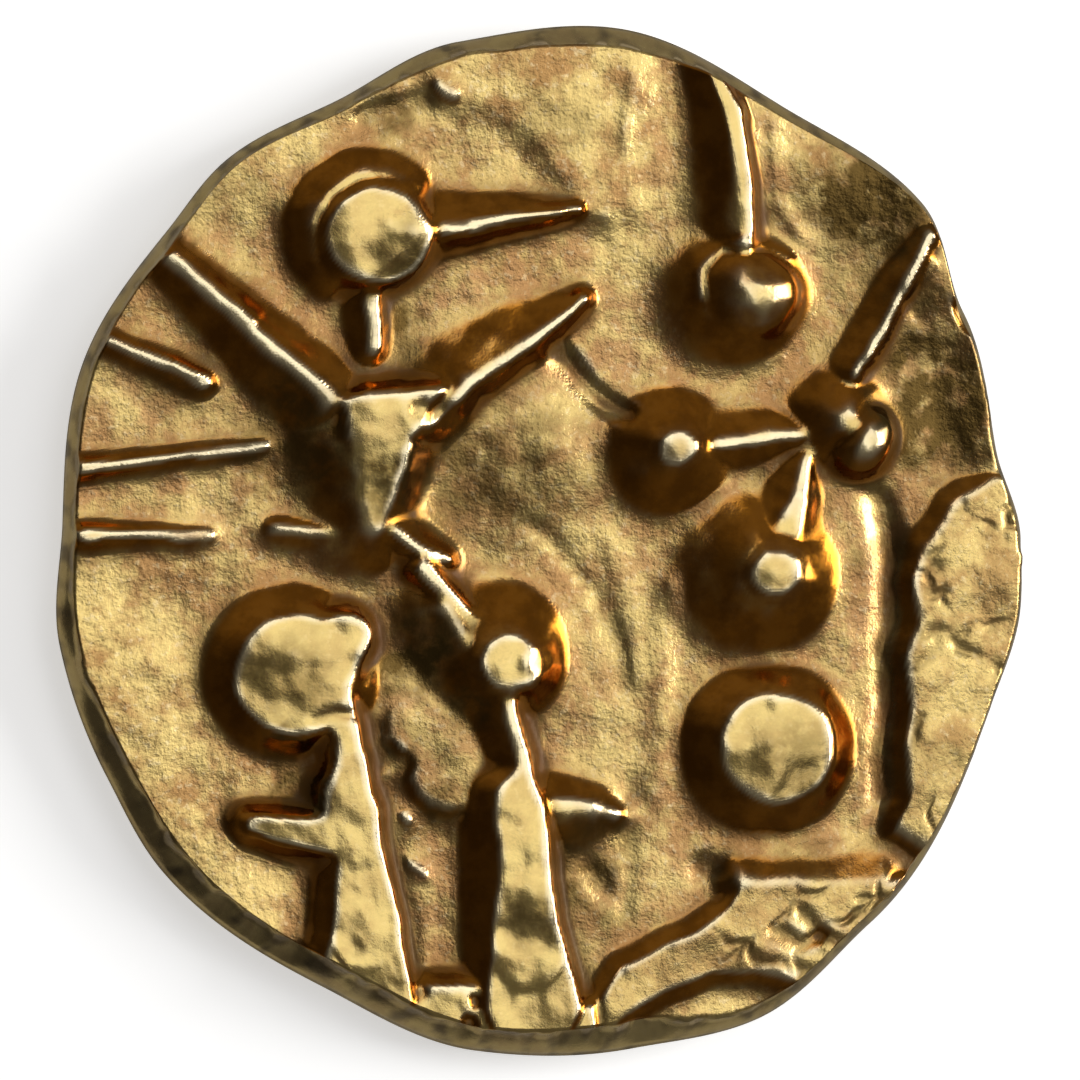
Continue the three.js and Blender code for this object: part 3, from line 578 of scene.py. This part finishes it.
for out, down, dirt in EDGE_PROFILE:
    loop = draw_down(loop, edge_ring(out, down), dirt, 1.0)
for share, height in UNDERSIDE:
    loop = draw_down(loop, underside_ring(share, height), UNDERSIDE_DIRT, 0.0)
bmesh.ops.contextual_create(struck, geom=loop)
bmesh.ops.recalc_face_normals(struck, faces=struck.faces)

coin_mesh = bpy.data.meshes.new("struck_coin")
struck.to_mesh(coin_mesh)
struck.free()
coin_mesh.polygons.foreach_set("use_smooth", [True] * len(coin_mesh.polygons))
coin = bpy.data.objects.new("struck_coin", coin_mesh)
bpy.context.collection.objects.link(coin)

# Gold
# A gold alloy with some silver and copper: pale and bright where hands have worn it, brown with painted shade
# on the flanks, olive where it is toned and where shade is painted on some tops, whitened along the crests as
# a painted highlight, and dark and not metal in the hollows and on steep right-facing flanks, where old dirt
# and painted shade lie.
FIELD_BROWN = (0.46, 0.26, 0.095)
FIELD_PALE = (0.83, 0.61, 0.225)
COPPER_RED = (0.58, 0.32, 0.140)
PALE_FLECK = (0.92, 0.74, 0.42)
DARK_FLECK = (0.20, 0.105, 0.035)
FLANK_SHADE = (0.32, 0.16, 0.045)
WORN_TOP = (0.72, 0.54, 0.200)
FLANK_DARK = (0.32, 0.112, 0.006)
FLANK_BROWN = (0.50, 0.18, 0.012)
OLIVE = (0.15, 0.092, 0.026)
DIRT_WITH_PAINTED_SHADE = (0.09, 0.036, 0.005)
PAINTED_GLINT_WHITE = (0.95, 0.83, 0.56)
SURFACE_DEPTH = 0.007 * MM


class Tone:
    """A value in a material; arithmetic on it adds Math nodes."""

    def __init__(self, tree, socket=None):
        self.tree, self.socket = tree, socket

    def node(self, kind, settings=None, output=None, **sockets):
        """Adds a node: its settings, then its sockets' values or links; gives the output, or the first."""
        made = self.tree.nodes.new(kind)
        for name, value in (settings or {}).items():
            setattr(made, name, value)
        for name, value in sockets.items():
            slot = made.inputs[int(name[1:])] if name[0] == "_" else made.inputs[name.replace("_", " ")]
            if isinstance(value, Tone):
                self.tree.links.new(value.socket, slot)
            else:
                slot.default_value = (*value, 1) if slot.type == "RGBA" else value
        if output is None:
            return Tone(self.tree, next(out for out in made.outputs if out.enabled))
        return Tone(self.tree, made.outputs[output])

    def _math(self, operation, first, second):
        return self.node("ShaderNodeMath", {"operation": operation}, _0=first, _1=second)

    def __add__(self, other):
        return self._math("ADD", self, other)

    __radd__ = __add__

    def __sub__(self, other):
        return self._math("SUBTRACT", self, other)

    def __rsub__(self, other):
        return self._math("SUBTRACT", other, self)

    def __mul__(self, other):
        return self._math("MULTIPLY", self, other)

    __rmul__ = __mul__

    def ramp(self, low, high):
        """0 up to low and 1 from high on, eased between them; low may be the larger."""
        eased = {"interpolation_type": "SMOOTHSTEP"}
        return self.node("ShaderNodeMapRange", eased, Value=self, From_Min=low, From_Max=high)


def blend(under, over, share):
    """One colour over another by a share."""
    return share.node("ShaderNodeMix", {"data_type": "RGBA"}, 2, _0=share, _6=under, _7=over)


gold = bpy.data.materials.new("struck_gold")
gold.use_nodes = True
metal = Tone(gold.node_tree)
on_coin = metal.node("ShaderNodeTexCoord", output="Object")


def mask(name):
    return metal.node("ShaderNodeAttribute", {"attribute_name": name}, "Fac")


def speckle(scale, detail, stretch=(1, 1, 1), turn=0.0):
    """Noise on the coin, scale in lumps per millimetre."""
    turned = metal.node("ShaderNodeMapping", Vector=on_coin, Rotation=(0, 0, math.radians(turn)),
                        Scale=[scale / MM * part for part in stretch])
    return metal.node("ShaderNodeTexNoise", Vector=turned, Scale=1.0, Detail=detail, Roughness=0.6)


flank, top, hollow, flank_tone_and_shade, shade, patina_and_shade, crest_highlight, copper = [mask(name) for name in MASKS]
clouds = speckle(0.9, 4)
mottle = speckle(2.6, 4)
pores = speckle(20, 2)
flecks = speckle(11, 5)
scratches = speckle(10, 3, (1, 0.2, 1), 4)
colour = blend(FIELD_BROWN, FIELD_PALE, (0.5 * clouds + 0.5 * mottle).ramp(0.40, 0.58))
colour = blend(colour, COPPER_RED, copper * (1 - top) * mottle.ramp(0.62, 0.38) * 0.85)
colour = blend(colour, PALE_FLECK, flecks.ramp(0.55, 0.67) * 0.45)
colour = blend(colour, DARK_FLECK, flecks.ramp(0.45, 0.31) * 0.40)
colour = blend(colour, FLANK_SHADE, shade * (1 - top) * 0.45)
colour = blend(colour, WORN_TOP, top * (0.75 + 0.5 * (mottle - 0.5)))
# Painted shade with brown toning on the steep lower part of the flanks
colour = blend(colour, blend(FLANK_DARK, FLANK_BROWN, mottle.ramp(0.35, 0.62)), flank_tone_and_shade * 0.92)
# Olive toning, with painted shade on some tops and flanks
colour = blend(colour, OLIVE, patina_and_shade * speckle(3, 4).ramp(0.25, 0.60) * 0.9)
# Dirt and painted shade: creases, feet of the forms and steep right-facing flanks go dark brown
colour = blend(colour, DIRT_WITH_PAINTED_SHADE, hollow * 0.8)
# Painted highlight along the crests
colour = blend(colour, PAINTED_GLINT_WHITE, crest_highlight * 0.8)
surface = (pores + 0.5 * scratches + 0.5 * flecks) * (1 - 0.85 * flank) * (1 - 0.80 * top)
finish = {
    "Base Color": colour,
    "Metallic": 1 - 0.9 * hollow.ramp(0.55, 0.95),
    "Roughness": 0.30 + 0.25 * hollow - 0.10 * top - 0.15 * flank + 0.12 * (pores - 0.5),
    "Normal": metal.node("ShaderNodeBump", Strength=1.0, Distance=SURFACE_DEPTH, Height=surface),
}
shader = gold.node_tree.nodes["Principled BSDF"]
shader.inputs["Specular IOR Level"].default_value = 0.15
for name, tone in finish.items():
    gold.node_tree.links.new(tone.socket, shader.inputs[name])
coin_mesh.materials.append(gold)

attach(coin, "root")
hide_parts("coin")

# Table
# A plain pale board that the coin lies on, matt and lit a little from within, as a light table is.
# The coin doesn't mirror it, so that the hollows of the gold stay dark.
BOARD_HALF = 0.4
board = bmesh.new()
bmesh.ops.create_grid(board, x_segments=1, y_segments=1, size=BOARD_HALF)
board_mesh = bpy.data.meshes.new("board")
board.to_mesh(board_mesh)
board.free()
floor = bpy.data.objects.new("floor", board_mesh)
bpy.context.collection.objects.link(floor)
pale = bpy.data.materials.new("pale_board")
pale.use_nodes = True
paint = pale.node_tree.nodes["Principled BSDF"].inputs
paint["Base Color"].default_value = (0.9, 0.9, 0.9, 1)
paint["Roughness"].default_value = 0.9
paint["Emission Color"].default_value = (1, 1, 1, 1)
paint["Emission Strength"].default_value = 0.55
board_mesh.materials.append(pale)
floor.visible_glossy = False

# Studio light
# A soft box above the coin, towards its top, and a smaller, stronger lamp low on the right.
# The room is dim, darkest on the left, so that the left flanks of the relief read as dark.
ROOM_LEFT = (0.044, 0.041, 0.037)
ROOM_RIGHT = (0.110, 0.104, 0.095)
ROOM_FAR = (0.22, 0.208, 0.19)
ROOM_BELOW = (0.26, 0.245, 0.215)


def lamp(name, tilt_right, tilt_up, distance, size, power):
    """An area lamp that faces the coin; its direction is given by tilts from straight above, in degrees."""
    right, up = math.tan(math.radians(tilt_right)), math.tan(math.radians(tilt_up))
    direction = Vector((right, up, 1)).normalized()
    light = bpy.data.lights.new(name, "AREA")
    light.shape = "RECTANGLE"
    light.size, light.size_y = size
    light.energy = power
    holder = bpy.data.objects.new(name, light)
    holder.location = direction * distance
    holder.rotation_euler = direction.to_track_quat("Z", "Y").to_euler()
    bpy.context.collection.objects.link(holder)


lamp("soft_box", tilt_right=14, tilt_up=14, distance=0.30, size=(0.27, 0.175), power=0.18)
lamp("right_lamp", tilt_right=56, tilt_up=12, distance=0.30, size=(0.15, 0.15), power=0.55)

world = bpy.data.worlds.new("studio")
bpy.context.scene.world = world
world.use_nodes = True
air = Tone(world.node_tree)
around = air.node("ShaderNodeTexCoord", output="Generated")
east, north, height = (air.node("ShaderNodeSeparateXYZ", output=way, _0=around) for way in "XYZ")
room = blend(ROOM_LEFT, ROOM_RIGHT, east.ramp(-0.7, 0.1))
room = blend(room, ROOM_FAR, north.ramp(0.2, 0.8))
room = blend(ROOM_BELOW, room, height.ramp(-0.35, 0.05))
world.node_tree.links.new(room.socket, world.node_tree.nodes["Background"].inputs["Color"])
bpy.context.scene.view_settings.view_transform = "Standard"

# Camera
# It looks down on the coin from a little to the left, through a long lens, so that the edge shows on the
# left and the coin fills most of the frame.
VIEW_TILT = math.radians(12)
VIEW_WIDTH = 13.5 * MM
VIEW_DISTANCE = 0.15
VIEW_CENTRE = Vector((-0.12, 0, FIELD)) * MM
camera_data = bpy.data.cameras.new("camera")
camera_data.sensor_width = 36
camera_data.lens = camera_data.sensor_width * VIEW_DISTANCE / VIEW_WIDTH
camera_data.clip_start = 0.01
camera = bpy.data.objects.new("camera", camera_data)
camera.location = VIEW_CENTRE + Vector((-math.sin(VIEW_TILT), 0, math.cos(VIEW_TILT))) * VIEW_DISTANCE
camera.rotation_euler = (0, -VIEW_TILT, 0)
bpy.context.collection.objects.link(camera)
bpy.context.scene.camera = camera
